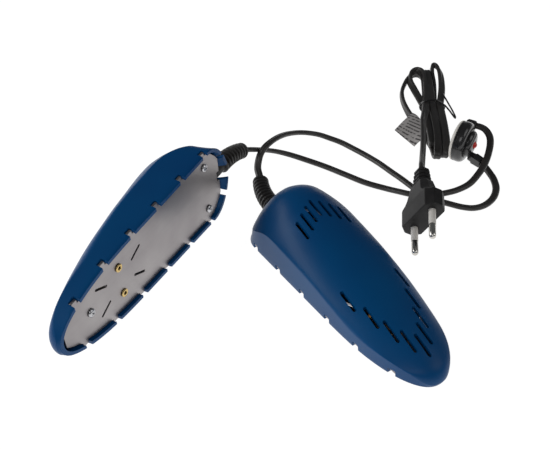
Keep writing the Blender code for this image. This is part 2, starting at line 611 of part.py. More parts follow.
def make_plug():
    spot, turn = PLUG_PLACE
    frame = bpy.data.objects.new("plug_frame", None)
    PARTS.objects.link(frame)
    frame.location = Vector(spot) * MM
    frame.rotation_euler = [math.radians(a) for a in turn]
    sections = [(15.6, 6.2, 2.4, 0), (15.9, 6.5, 2.6, 0.6), (15.9, 6.5, 2.6, 11), (11.5, 6.2, 2.6, 16),
                (9.0, 5.2, 2.2, 22), (6.0, 4.4, 2.0, 26)]
    for rib in range(4):
        start = 26.4 + rib * 3
        crest, groove = 6.0 - 0.5 * rib, 4.8 - 0.5 * rib
        sections += [(crest, 4.3 - 0.2 * rib, 1.8, start), (crest, 4.3 - 0.2 * rib, 1.8, start + 1.6),
                     (groove, 3.3 - 0.2 * rib, 1.4, start + 1.9), (groove, 3.3 - 0.2 * rib, 1.4, start + 2.7)]
    bm = loft([plug_section(*section) for section in sections])
    bm.verts.ensure_lookup_table()
    last = len(bm.verts) - 8
    bm.faces.new([bm.verts[i] for i in range(8)])
    bm.faces.new([bm.verts[i] for i in range(last, last + 8)])
    body = add_object("plug_body", mesh_from(bm, "plug_body"), BLACK, frame)
    sockets = bmesh.new()
    for way in (1, -1):
        add_cylinder(sockets, 2.4 * MM, 8 * MM, place((way * 9.3 * MM, 0, 0.0)), 16)
    boolean(body, "DIFFERENCE", sockets, frame)
    for number, way in enumerate((1, -1), 1):
        lean = way * math.radians(1.6)
        pin = [(0, 3.6), (1.4, 3.6), (1.4, -9.9), (2.0, -10.1), (2.0, -17.6), (1.5, -18.7), (0, -19.0)]
        sleeve = [(1.75, 3.4), (2.05, 3.4), (2.05, -9.7), (1.75, -9.7)]
        at = (way * 9.3 * MM, 0, 0)
        turned(f"plug_pin_{number}", [(r * MM, z * MM) for r, z in pin], NICKEL, frame, at, (0, lean, 0), 14)
        turned(f"pin_sleeve_{number}", [(r * MM, z * MM) for r, z in sleeve], GREY, frame, at, (0, lean, 0), 14)


def hank_outline(steps):
    """The outline round both ends of the hank: two arcs joined by the common tangents."""
    (x0, y0, r0), (x1, y1, r1) = HANK_ENDS
    heading = math.atan2(y1 - y0, x1 - x0)
    lean = math.acos((r0 - r1) / math.hypot(x1 - x0, y1 - y0))
    outline = []
    for i in range(steps + 1):
        angle = heading - lean + 2 * lean * i / steps
        outline.append(((x1 + r1 * math.cos(angle)) * MM, (y1 + r1 * math.sin(angle)) * MM))
    for i in range(steps + 1):
        angle = heading + lean + (2 * math.pi - 2 * lean) * i / steps
        outline.append(((x0 + r0 * math.cos(angle)) * MM, (y0 + r0 * math.sin(angle)) * MM))
    return outline


def make_cords():
    for name, route, count in (("left_lead", LEFT_ROUTE, 48), ("right_lead", RIGHT_ROUTE, 52),
                               ("mains_lead", PLUG_ROUTE, 16), ("mains_tail", TAIL_ROUTE, 4)):
        tube(name, smooth([Vector(p) * MM for p in route], count), CORD_RADIUS, BLACK)
    low, high = HANK_LEVELS
    flat_piece("mains_hank", hank_outline(12), (high - low) * MM, BLACK, None, (0, 0, (low + high) / 2 * MM))
    tube("twist_tie", smooth([Vector(p) * MM for p in TIE_ROUTE], 32), 0.6 * MM, BLACK)
    box("cord_label", (20 * MM, 11 * MM, 0.4 * MM), (97.2 * MM, 128.5 * MM, 5.5 * MM), PAPER,
        rotation=(math.radians(20), 0, math.radians(-54)))


# ---- assembly ----
for old in list(bpy.data.objects):
    bpy.data.objects.remove(old)
PARTS = collection("boot_dryer")
CUTTERS = collection("cutters")
for which in DRYERS:
    make_dryer(which)
make_junction()
make_plug()
make_cords()
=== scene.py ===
"""Looks of the boot dryer pair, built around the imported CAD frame. Metres, +Z up."""
import json
import math
import bmesh
import bpy
from mathutils import Euler, Matrix, Vector


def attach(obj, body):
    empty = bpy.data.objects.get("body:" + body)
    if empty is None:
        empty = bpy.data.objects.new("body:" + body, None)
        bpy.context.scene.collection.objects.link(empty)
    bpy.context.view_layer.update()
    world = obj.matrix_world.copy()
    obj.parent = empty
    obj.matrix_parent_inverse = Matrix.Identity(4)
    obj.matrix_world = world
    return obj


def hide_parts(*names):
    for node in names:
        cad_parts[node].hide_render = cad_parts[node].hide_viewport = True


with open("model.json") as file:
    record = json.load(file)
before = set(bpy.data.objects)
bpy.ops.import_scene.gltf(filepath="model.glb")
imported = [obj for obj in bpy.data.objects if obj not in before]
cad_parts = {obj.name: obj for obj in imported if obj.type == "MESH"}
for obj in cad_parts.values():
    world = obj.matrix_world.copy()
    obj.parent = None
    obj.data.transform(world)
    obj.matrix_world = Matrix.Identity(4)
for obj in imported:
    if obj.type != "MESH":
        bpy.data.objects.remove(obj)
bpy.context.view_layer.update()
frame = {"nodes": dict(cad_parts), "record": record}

MM = 0.001
BODY = "root"

# ---- camera: aim point, distance and elevation of the displayed view ----
CAMERA_AIM = Vector((10.74, 38.23, 0.0)) * MM
CAMERA_DISTANCE = 462.06 * MM
CAMERA_ELEVATION = math.radians(39.166)
LENS_MM = 50.77
SENSOR_MM = 36.0

# ---- lights: name, place m, size m, power W; all aim at one point ----
LIGHTS = (("side", (-0.75, 0.15, 0.40), (0.7, 0.5), 4.6), ("fill", (0.75, -0.15, 0.65), (0.6, 0.5), 1.4),
          ("front", (-0.1, -0.75, 0.75), (0.6, 0.4), 1.6))
LIGHT_AIM = (0.02, 0.02, 0.01)
SKY, SKY_STRENGTH = (0.9, 0.95, 1.0, 1), 0.10

# ---- the dryers: location mm, rotation degrees, bend of the boot tip mm ----
DRYERS = {
    "left": ((-53.46, -14.22, 24.65), (90.69, 3.35, -118.32), (-7.2, 0.0)),
    "right": ((50.53, -19.59, 0.0), (0.0, 0.0, -58.64), (7.4, 0.0)),
}
HEEL_X, TOE_X = -78.0, 73.2
WALL = 2.0
SPINE = (-50.0, 48.0)
SIDE_WIDTH, SIDE_TAPER, SIDE_START_X = 25.0, 0.039, -57
HEEL_ROUND_X, HEEL_ROUND_LENGTH, HEEL_POWERS = -58.3, 19.7, (2.1, 0.6)
TOE_ROUND_X, TOE_ROUND_LENGTH, TOE_POWERS = 5.7, 67.5, (2.83, 0.47)
# each list is (x, value) in mm, read by along() as a smooth curve; the values are fitted to the outline
LEAN = [(-78, 5.2), (-66, 2.0), (-55, -1.1), (-44, -1.2), (50, -1.2), (73.2, -0.8)]
FLANK_TOP = [(-78, 5.9), (-66, 9.4), (-45, 19.8), (-25, 19.2), (-5, 17.6), (15, 14.3),
             (35, 10.5), (55, 9.6), (66, 7.2), (73.2, 2.0)]
CROWN = [(-78, 13.7), (-60, 13.2), (-40, 21.1), (-10, 21.2), (15, 17.8), (29, 15.4), (41, 12.8),
         (53, 10.2), (61, 9.2), (66, 8.7), (73.2, 9.1)]
HUMP = [(-78, 32.3), (-60, 23.7), (-45, 17.0), (-39, 14.6), (-27, 11.8), (-15, 9.5), (-5, 8.2),
        (5, 7.6), (18, 7.0), (73.2, 5.2)]
NOTCH_COUNT, NOTCH_PITCH, NOTCH_WIDTH, NOTCH_TOP, NOTCH_CORNER = 6, 22.6, 4.3, 4.1, 0.7
BELOW_RIM = -3                          # where the cutters of the rim start
HEEL_TAB_HALF, HEEL_TAB_SPOT, HEEL_TAB_TURN = 3.5, (-72.9, 14.0), 0.6
ARCH_RADIUS = 4.8                       # opening for the boot
PLATE_Z, PLATE_THICKNESS = 2.2, 1.5
VENT_WIDTH, VENT_LENGTH = 2.0, 12.9
HEEL_VENTS = [(0, -41.1), (4.5, -38.5), (8.9, -35.4), (13.4, -32.9)]
TOE_VENTS = [(0, 52.2), (4.9, 47.4), (9.0, 39.2), (12.8, 28.2), (16.8, 14.3)]
SCREW_SPOTS = [(-56.9, 14.9), (-56.9, -14.9), (48.4, 0.0)]
EYELET_X, EYELET_Y = 24.1, 8.9
HEAD_Z = PLATE_Z - 0.3                  # seat of the screw heads and eyelets
CROSS_SLOT, CROSS_SLOT_SIZE = (14.1, 7.4), (9.4, 1.4)
BOOT_AXIS_Z, BOOT_TIP_X = 7.0, -106.0
RIBS_X, RIBS_LENGTH, RIB_COUNT = -79.6, 26.2, 9

# ---- routes of the cords, mm ----
# the leads run from a dryer's boot to a gland of the junction
LEFT_ROUTE = [(-9.0, 82.85, 23.45), (-7.4, 85.5, 22.2), (-2.5, 90.5, 19), (3.5, 98.3, 13.5),
              (11.4, 104.4, 8.3), (20.6, 105.7, 4.8), (31.4, 103.1, 2.4), (43.4, 96.5, 1.8),
              (55.8, 87.5, 1.8), (67.9, 78.7, 1.8), (79.8, 71.8, 2.4), (87.1, 66.4, 4), (93.8, 61.9, 5.3),
              (100.2, 60, 5.7), (107.7, 60.5, 5.6), (115.4, 62.7, 5.4), (123.4, 66, 5.3), (132, 71.9, 5.6),
              (139, 80.2, 7), (145.2, 90, 9), (150, 101.6, 12), (151.4, 109.3, 15.5), (149.8, 115.5, 17.4),
              (147, 118.6, 18), (144.1, 120.1, 18.1)]
RIGHT_ROUTE = [(1.7, 75.1, 7.05), (0.8, 78.4, 8), (-0.2, 82.9, 10.5), (0.9, 87.4, 15.5), (3, 91, 18.3),
               (6.3, 96.5, 19.2), (11.6, 105.3, 18), (17.3, 114.3, 15), (23.3, 121.3, 11.8),
               (29.3, 126.2, 9), (35.5, 129, 6.6), (41.5, 129.8, 4.8), (48.3, 127.9, 3.3),
               (55.8, 124.4, 2.2), (63.8, 117.2, 1.8), (71.5, 109.1, 1.8), (78.9, 100.3, 1.8),
               (85.9, 90.4, 1.8), (91.8, 82.2, 1.8), (98.2, 72.6, 1.8), (104.5, 65.2, 1.8),
               (111.1, 59.9, 1.8), (117.9, 56.4, 1.8), (124.7, 53.4, 1.8), (131.8, 52.4, 1.8),
               (139.1, 55.4, 1.8), (145.6, 62.5, 1.8), (149.5, 71.8, 1.8), (150.2, 81.2, 2),
               (148.6, 87.4, 3), (145.3, 95, 5)]
# from the junction's back through the hank to the plug: x, y, z in mm and the flat side's lean in degrees
MAINS_ROUTE = [(127.9, 109.6, 8, 40), (126.2, 110.7, 6.8, 30), (124.2, 113.4, 5.9, 10),
               (123.2, 121, 5.4, 0), (123.4, 140, 5.1, 0), (124.5, 164, 5.4, 0), (127, 182, 5.6, 15),
               (129.2, 198, 6.4, 45), (130.2, 211, 8, 75), (132.2, 220.6, 9.6, 85), (135.1, 218.4, 9.8, 70),
               (136.1, 208, 9.2, 40), (134.2, 190, 8.6, 20), (131, 174, 8.4, 8), (128.6, 164, 8.6, 0),
               (127.8, 156, 9.3, 0), (127, 145, 10, 0), (126.1, 131, 10, 0), (124.7, 116, 9.8, 0),
               (123.4, 108.6, 8.8, 0), (122.5, 104.6, 5.8, 0), (122.8, 108, 2.5, 0), (124.2, 118, 2, 0),
               (125.4, 140, 2, 0), (126, 164, 2.4, 0), (126.4, 184, 2.6, 0), (126.6, 203, 3.6, 0),
               (126.6, 211.4, 4.8, 0), (126.6, 214, 7.2, 0), (126.4, 211.4, 9.4, 0), (125.8, 202, 9.6, 0),
               (124.8, 184, 8.9, 0), (123.4, 166, 8.6, 0), (122.6, 158, 9.3, 0), (121.5, 145, 10, 0),
               (120.6, 131, 10, 0), (119.2, 116, 9.8, 0), (118, 107.4, 8.6, 0), (117.4, 103, 5.8, 0),
               (117.2, 107, 2.6, 0), (116.8, 120, 2, 0), (112.6, 138, 2.1, 25), (108.6, 152, 2.6, 55),
               (105.6, 165, 3.4, 78), (104.2, 177, 4, 85), (104.8, 188, 4.6, 85), (107.6, 197.6, 5.2, 85),
               (111.6, 206.4, 5.8, 85), (116.4, 212.2, 6.3, 85), (120.8, 211.6, 6.5, 80),
               (122.6, 204, 6.4, 60), (121.8, 188, 6, 25), (120.2, 174, 5.6, 5), (119, 164, 5.5, 0),
               (117.6, 148, 7, 0), (116.4, 130, 8.2, 0), (116, 120, 8, 0), (116, 115.4, 6.4, 0),
               (116.2, 119.4, 4.8, 0), (117.4, 132, 4.5, 0), (119, 150, 3.5, 0), (119.3, 164, 2.8, 0),
               (117, 176.4, 4.4, 10), (113.9, 190.9, 6, 28), (112.2, 201.3, 7.2, 50),
               (114.2, 210.2, 8.8, 80), (118.9, 213.4, 9.8, 90), (123, 208.4, 10.2, 75), (123, 194, 10, 40),
               (121, 176, 9.2, 10), (118.4, 164, 9.2, 0), (116.4, 154, 11.4, 8), (113.9, 143, 12.6, 30),
               (112.1, 136, 13.2, 42), (110.3, 124.9, 13.6, 52), (108.4, 112.1, 13.9, 58),
               (106.3, 99.6, 14.6, 60), (103.9, 87.3, 16.6, 60), (101.3, 74.6, 20.6, 60),
               (99.1, 64.4, 24.9, 60), (98.35, 59.5, 25.1, 60)]
TIE_CENTRE, TIE_HALF = (123.3, 164.2, 6.2), (8.5, 6.0)
TIE_WIRE_RADIUS, TIE_END_RADIUS = 0.75, 0.6
JUNCTION_PLACE = ((131.2, 109.0, 13.8), -32.0)
GLANDS = (("upper_gland", (16.1, 4.3, 1.9), 0), ("lower_gland", (-3.1, -8.8, 16.2), 24))
PIN_HALF_PITCH, PIN_TURN, PLUG_CORNER = 9.3, 1.6, 0.5   # mm, degrees, mm
PLUG_PLACE = ((94.5, 22.0, 17.0), (-63.75, -62.16, -29.44))
LEAD_SIZE, LEAD_LEAN = (4.6, 3.0), 12.0   # width and thickness, mm; lean of the flat side, degrees
MAINS_SIZE = (5.2, 2.8)
LEAD_STEP, MAINS_STEP = 1.5, 1.2          # distance between two rings of a cord, mm
CORD_LOW = 0.15                           # no cord reaches below this height, mm


# ---- procedural materials ----
class Nodes:
    """Short calls for building one material's node tree."""

    def __init__(self, name):
        self.material = bpy.data.materials.new(name)
        self.material.use_nodes = True
        self.tree = self.material.node_tree
        self.shader = self.tree.nodes["Principled BSDF"]
        self.place = self.add("ShaderNodeTexCoord").outputs["Object"]

    def add(self, kind, **values):
        node = self.tree.nodes.new(kind)
        for key, value in values.items():
            if key in node.inputs:
                node.inputs[key].default_value = value
            else:
                setattr(node, key, value)
        return node

    def link(self, source, target):
        self.tree.links.new(source, target)

    def noise(self, scale, detail=3.0, stretch=(1, 1, 1)):
        mapping = self.add("ShaderNodeMapping")
        mapping.inputs["Scale"].default_value = stretch
        self.link(self.place, mapping.inputs["Vector"])
        node = self.add("ShaderNodeTexNoise", Scale=scale, Detail=detail)
        self.link(mapping.outputs["Vector"], node.inputs["Vector"])
        return node.outputs["Fac"]

    def ramp(self, source, stops):
        node = self.add("ShaderNodeValToRGB")
        elements = node.color_ramp.elements
        while len(elements) < len(stops):
            elements.new(0.5)
        for element, (position, colour) in zip(elements, stops):
            element.position = position
            element.color = (*colour, 1) if len(colour) == 3 else colour
        self.link(source, node.inputs["Fac"])
        return node.outputs["Color"]

    def colour(self, source):
        self.link(source, self.shader.inputs["Base Color"])

    def roughness(self, source, low, high):
        node = self.add("ShaderNodeMapRange")
        node.inputs["To Min"].default_value = low
        node.inputs["To Max"].default_value = high
        self.link(source, node.inputs["Value"])
        self.link(node.outputs["Result"], self.shader.inputs["Roughness"])

    def bump(self, source, strength, distance):
        node = self.add("ShaderNodeBump", Strength=strength, Distance=distance)
        self.link(source, node.inputs["Height"])
        self.link(node.outputs["Normal"], self.shader.inputs["Normal"])

    def set(self, **values):
        for key, value in values.items():
            self.shader.inputs[key.replace("_", " ")].default_value = value


def speckled(name, dark, light, rough, scale=900, bump=0.08, metallic=0.0, coat=0.0, gloss=0.5):
    """A finish with fine grain: two close colours, uneven roughness and a shallow bump."""
    made = Nodes(name)
    grain = made.noise(scale, 3)
    made.colour(made.ramp(made.noise(scale / 12, 4), [(0.3, dark), (0.7, light)]))
    made.roughness(grain, rough[0], rough[1])
    made.bump(grain, bump, 0.0002)
    made.set(Metallic=metallic, Coat_Weight=coat, Specular_IOR_Level=gloss)
    return made.material


def blue_plastic():
    """Satin moulded plastic: navy with a slight teal drift and a fine moulded grain."""
    made = Nodes("blue_plastic")
    drift = made.noise(22, 2)
    made.colour(made.ramp(drift, [(0.3, (0.0, 0.05, 0.17)), (0.7, (0.0, 0.064, 0.195))]))
    grain = made.noise(2600, 2)
    made.roughness(made.noise(60, 4), 0.34, 0.44)
    made.bump(grain, 0.05, 0.0002)
    made.set(Specular_IOR_Level=0.16)
    return made.material


def brushed_plate(side):
    """Rolled sheet metal, satin, with faint lines along its length and a few soft stains."""
    made = Nodes(f"brushed_plate_{side}")
    location, degrees, _ = DRYERS[side]
    mapping = made.add("ShaderNodeMapping", vector_type="TEXTURE")
    mapping.inputs["Location"].default_value = [value * MM for value in location]
    mapping.inputs["Rotation"].default_value = [math.radians(value) for value in degrees]
    made.link(made.place, mapping.inputs["Vector"])
    made.place = mapping.outputs["Vector"]
    lines = made.noise(420, 3, (0.04, 1, 1))
    made.colour(made.ramp(made.noise(35, 3), [(0.3, (0.27, 0.25, 0.255)), (0.7, (0.35, 0.33, 0.33))]))
    made.roughness(lines, 0.26, 0.42)
    made.bump(lines, 0.06, 0.0001)
    made.set(Metallic=0.9)
    return made.material


def paper_label():
    """Coated paper with dark printed bands that stand for text without being any."""
    made = Nodes("paper")
    mapping = made.add("ShaderNodeMapping", vector_type="TEXTURE")
    mapping.inputs["Rotation"].default_value = (0, 0, math.radians(-55.5))
    made.link(made.place, mapping.inputs["Vector"])
    made.place = mapping.outputs["Vector"]
    rows = made.add("ShaderNodeTexWave", Scale=105.0, Distortion=0.0, bands_direction="Y")
    made.link(made.place, rows.inputs["Vector"])
    breaks = made.noise(420, 1, (1, 0.25, 1))
    ink = made.add("ShaderNodeMath", operation="MULTIPLY")
    made.link(made.ramp(rows.outputs["Fac"], [(0.62, (0, 0, 0)), (0.70, (1, 1, 1))]), ink.inputs[0])
    made.link(made.ramp(breaks, [(0.40, (0, 0, 0)), (0.46, (1, 1, 1))]), ink.inputs[1])
    made.colour(made.ramp(ink.outputs["Value"], [(0.0, (0.40, 0.38, 0.37)), (1.0, (0.07, 0.065, 0.065))]))
    made.roughness(made.noise(300, 3), 0.5, 0.65)
    made.bump(made.noise(900, 3), 0.05, 0.0001)
    return made.material


def red_lens():
    made = Nodes("red_lens")
    made.colour(made.ramp(made.noise(500, 2), [(0.3, (0.30, 0.008, 0.004)), (0.7, (0.5, 0.02, 0.01))]))
    made.roughness(made.noise(200, 2), 0.08, 0.16)
    made.set(Transmission_Weight=0.35, Emission_Color=(0.8, 0.03, 0.02, 1), Emission_Strength=0.12)
    return made.material


def floor_material():
    made = Nodes("pale_floor")
    made.colour(made.ramp(made.noise(3, 2), [(0.3, (0.10, 0.10, 0.10)), (0.7, (0.12, 0.12, 0.12))]))
    made.roughness(made.noise(4, 2), 0.85, 0.95)
    made.set(Emission_Color=(1, 1, 1, 1), Emission_Strength=0.98)
    return made.material


MATERIALS = {
    "blue_plastic": blue_plastic(),
    "brushed_plate_left": brushed_plate("left"),
    "brushed_plate_right": brushed_plate("right"),
    "steel": speckled("steel", (0.42, 0.42, 0.43), (0.58, 0.58, 0.6), (0.22, 0.38), metallic=1.0),
    "brass": speckled("brass", (0.52, 0.36, 0.13), (0.72, 0.54, 0.24), (0.18, 0.32), metallic=1.0),
    "mica": speckled("mica", (0.16, 0.13, 0.09), (0.22, 0.18, 0.12), (0.4, 0.6), 400),
    "ceramic": speckled("ceramic", (0.08, 0.075, 0.07), (0.12, 0.11, 0.1), (0.6, 0.8), 500),
    "brown_wire": speckled("brown_wire", (0.12, 0.045, 0.015), (0.2, 0.08, 0.03), (0.4, 0.55)),
    "blue_wire": speckled("blue_wire", (0.015, 0.08, 0.38), (0.03, 0.13, 0.52), (0.4, 0.55)),
    "black_rubber": speckled("black_rubber", (0.02, 0.018, 0.017), (0.03, 0.0275, 0.026), (0.34, 0.5),
                             1500, 0.06),
    "grey_plastic": speckled("grey_plastic", (0.62, 0.59, 0.55), (0.74, 0.71, 0.66), (0.4, 0.55), 700),
    "red_lens": red_lens(),
    "lamp_glass": speckled("lamp_glass", (0.75, 0.5, 0.4), (0.9, 0.68, 0.55), (0.08, 0.16)),
    "nickel": speckled("nickel", (0.5, 0.48, 0.45), (0.68, 0.66, 0.62), (0.14, 0.26), 600, 0.04, 1.0),
    "paper": paper_label(),
    "black_gloss": speckled("black_gloss", (0.009, 0.0085, 0.009), (0.016, 0.015, 0.016), (0.2, 0.32),
                            1200, 0.04, coat=0.3),
    "black_plug": speckled("black_plug", (0.011, 0.0105, 0.011), (0.02, 0.019, 0.0195), (0.42, 0.56),
                           1800, 0.09, gloss=0.2),
}


# ---- object helpers ----
def add_object(name, mesh, material, matrix=None, sharp_angle=35):
    """Link a mesh, shaded smooth up to sharp_angle degrees; keep() then puts it on the only body."""
    made = bpy.data.objects.new(name, mesh)
    bpy.context.scene.collection.objects.link(made)
    mesh.materials.clear()
    mesh.materials.append(MATERIALS[material])
    mesh.shade_smooth()
    mesh.set_sharp_from_angle(angle=math.radians(sharp_angle))
    if matrix is not None:
        made.matrix_world = matrix
    return made


def keep(piece, *nodes):
    """Put a finished piece in the row frame, on the only body, in place of the named CAD nodes."""
    piece.data.transform(piece.matrix_world)
    piece.matrix_world = Matrix.Identity(4)
    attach(piece, BODY)
    if nodes:
        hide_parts(*nodes)


def mesh_from(bm, name):
    """A mesh in metres from a bmesh in millimetres."""
    bmesh.ops.recalc_face_normals(bm, faces=bm.faces)
    bmesh.ops.scale(bm, vec=(MM, MM, MM), verts=bm.verts)
    mesh = bpy.data.meshes.new(name)
    bm.to_mesh(mesh)
    bm.free()
    return mesh


def place(location=(0, 0, 0), rotation=(0, 0, 0)):
    return Matrix.Translation(Vector(location)) @ Euler(rotation).to_matrix().to_4x4()


def frame_matrix(location, degrees):
    """World matrix, in metres, of a piece's own frame given in mm and degrees."""
    turn = Euler([math.radians(a) for a in degrees]).to_matrix().to_4x4()
    return Matrix.Translation(Vector(location) * MM) @ turn


def loft(bm, rings, closed_ends=False):
    """Join successive closed rings with quads."""
    rows = [[bm.verts.new(p) for p in ring] for ring in rings]
    count = len(rings[0])
    for lower, upper in zip(rows, rows[1:]):
        for i in range(count):
            j = (i + 1) % count
            bm.faces.new((lower[i], lower[j], upper[j], upper[i]))
    if closed_ends:
        bm.faces.new(rows[0])
        bm.faces.new(rows[-1])


def circle(radius, steps, z=0.0):
    turns = [2 * math.pi * k / steps for k in range(steps)]
    return [Vector((radius * math.cos(turn), radius * math.sin(turn), z)) for turn in turns]


def turned(bm, profile, steps):
    """Turn a (radius, height) profile about z; where it starts and ends on the axis it is closed there."""
    on_axis = profile[0][0] == 0 and profile[-1][0] == 0
    points = profile[1:-1] if on_axis else profile + profile[:1]
    loft(bm, [circle(radius, steps, z) for radius, z in points], on_axis)
    if not on_axis:
        bmesh.ops.remove_doubles(bm, verts=bm.verts, dist=0.0001)


def add_slot(bm, length, width, depth, matrix, steps=6):
    """A prism with round ends, lying along its own x and centred on its own z = 0."""
    outline = []
    for side, centre in ((1, length / 2 - width / 2), (-1, -length / 2 + width / 2)):
        for k in range(steps + 1):
            angle = math.pi * k / steps - math.pi / 2
            outline.append((centre + side * width / 2 * math.cos(angle), side * width / 2 * math.sin(angle)))
    add_prism(bm, outline, depth, matrix)


def add_prism(bm, outline, depth, matrix):
    corners = [bm.verts.new(matrix @ Vector((x, y, -depth / 2))) for x, y in outline]
    lifted = bmesh.ops.extrude_face_region(bm, geom=[bm.faces.new(corners)])
    moved = [v for v in lifted["geom"] if isinstance(v, bmesh.types.BMVert)]
    bmesh.ops.translate(bm, verts=moved, vec=matrix.to_3x3() @ Vector((0, 0, depth)))


def cut(piece, cutters, bevel=0.0):
    """Subtract shapes (a bmesh in mm, in the piece's own frame), round the new edges, keep a plain mesh."""
    tool = bpy.data.objects.new("cutter", mesh_from(cutters, "cutter"))
    bpy.context.scene.collection.objects.link(tool)
    tool.matrix_world = piece.matrix_world
    change = piece.modifiers.new("cut", "BOOLEAN")
    change.operation = "DIFFERENCE"
    change.object = tool
    change.solver = "EXACT"
    if bevel:
        rounding = piece.modifiers.new("rounding", "BEVEL")
        rounding.width = bevel * MM
        rounding.segments = 2
        rounding.limit_method = "ANGLE"
        rounding.angle_limit = math.radians(50)
    flatten(piece)
    even = piece.modifiers.new("even_normals", "WEIGHTED_NORMAL")
    even.keep_sharp = True
    bpy.data.objects.remove(tool)


def flatten(piece):
    """Replace a piece's mesh by what its modifiers make of it."""
    bpy.context.view_layer.update()
    seen = piece.evaluated_get(bpy.context.evaluated_depsgraph_get())
    mesh = bpy.data.meshes.new_from_object(seen)
    piece.modifiers.clear()
    piece.data = mesh
    mesh.shade_smooth()
    mesh.set_sharp_from_angle(angle=math.radians(35))


def smooth(points, spacing):
    """Points about spacing mm apart on a smooth curve; a fourth number is carried along."""
    points = [Vector(p) for p in points]
    ends = [2 * points[0] - points[1]] + points + [2 * points[-1] - points[-2]]
    fine = []
    for a, b, c, d in zip(ends, ends[1:], ends[2:], ends[3:]):
        for step in range(16):
            t = step / 16
            fine.append(0.5 * ((2 * b) + (c - a) * t + (2 * a - 5 * b + 4 * c - d) * t * t
                               + (3 * b - a - 3 * c + d) * t * t * t))
    fine.append(points[-1])
    lengths = [0.0]
    for a, b in zip(fine, fine[1:]):
        lengths.append(lengths[-1] + (b - a).to_3d().length)
    count = max(2, round(lengths[-1] / spacing) + 1)
    result, k = [], 0
    for i in range(count):
        want = lengths[-1] * i / (count - 1)
        while k < len(fine) - 2 and lengths[k + 1] < want:
            k += 1
        part = (want - lengths[k]) / max(lengths[k + 1] - lengths[k], 1e-9)
        result.append(fine[k].lerp(fine[k + 1], min(max(part, 0), 1)))
    return result


# ---- cords ----
def twin_section(width, thickness, steps=10):
    """Outline of a flat twin cord: two round cores joined by a narrower web, as (across, up) points."""
    radius = thickness / 2
    centre = width / 2 - radius
    outline = []
    for side in (1, -1):
        for k in range(steps + 1):
            angle = math.radians(-115 + 230 * k / steps)
            outline.append((side * (centre + radius * math.cos(angle)), side * radius * math.sin(angle)))
        outline.append((0, side * radius * 0.88))
    return outline


def flat_cord(name, route, size, nodes):
    """Sweep the twin section along a route whose fourth number leans it; gives the cord and its path."""
    section = twin_section(*size)
    points = [p.to_3d() for p in route]
    rings = []
    across = Vector((1, 0, 0))
    count = len(points)
    for i, point in enumerate(points):
        ahead = (points[min(i + 1, count - 1)] - points[max(i - 1, 0)]).normalized()
        level = ahead.cross(Vector((0, 0, 1)))
        if level.length > 0.25:
            level.normalize()
            if level.dot(across) < 0 and i:
                level = -level
            across = across.lerp(level, 0.35 if i else 1.0)
        across = (across - ahead * across.dot(ahead)).normalized()
        up = across.cross(ahead)
        lean = math.radians(route[i][3])
        wide = across * math.cos(lean) + up * math.sin(lean)
        thin = up * math.cos(lean) - across * math.sin(lean)
        rings.append([point + wide * u + thin * v for u, v in section])
    bm = bmesh.new()
    loft(bm, rings, True)
    for v in bm.verts:
        v.co.z = max(v.co.z, CORD_LOW)
    cord = add_object(name, mesh_from(bm, name), "black_rubber", sharp_angle=60)
    keep(cord, *nodes)
    return cord, points


def make_cords():
    for side, route in (("left", LEFT_ROUTE), ("right", RIGHT_ROUTE)):
        leaning = smooth([(*p, LEAD_LEAN) for p in route], LEAD_STEP)
        cord, path = flat_cord(f"{side}_flat_lead", leaning, LEAD_SIZE, [f"{side}_lead"])
    cord, path = flat_cord("mains_flat_cord", smooth(MAINS_ROUTE, MAINS_STEP), MAINS_SIZE,
                           ["mains_lead", "mains_tail", "mains_hank"])


def round_wire(name, points, radius):
    """A black wire, swept along points."""
    rings = []
    for i, point in enumerate(points):
        ahead = points[min(i + 1, len(points) - 1)] - points[max(i - 1, 0)]
        turn = ahead.to_track_quat("Z", "Y")
        rings.append([point + turn @ spot for spot in circle(radius, 10)])
    bm = bmesh.new()
    loft(bm, rings, True)
    return add_object(name, mesh_from(bm, name), "black_gloss")


def make_twist_tie():
    """One turn round the bundle, and its ends as one wire folded back on itself."""
    cx, cy, cz = TIE_CENTRE
    wide, high = TIE_HALF
    loop = []
    for k in range(33):
        angle = math.radians(-10) + 2 * math.pi * k / 32
        squash = 1.0 if math.sin(angle) > 0 else 0.92
        loop.append(Vector((cx + wide * math.cos(angle), cy - 1.2 * math.cos(angle),
                            max(cz + high * squash * math.sin(angle), 0.9))))
    ends = [(130.6, 163.2, 8.6), (131.2, 160.6, 10), (133.2, 153.5, 10), (135.2, 146, 9.4), (136, 144.6, 9),
            (136.2, 147, 9.4), (135.2, 155, 10), (134.2, 162.1, 10.2), (133.2, 168.5, 10.6),
            (132.1, 174.8, 11)]
    first = round_wire("twist_tie_loop", smooth(loop, 1.0), TIE_WIRE_RADIUS)
    keep(first, "twist_tie")
    second = round_wire("twist_tie_ends", smooth(ends, 0.8), TIE_END_RADIUS)
    keep(second)
    return [first, second]


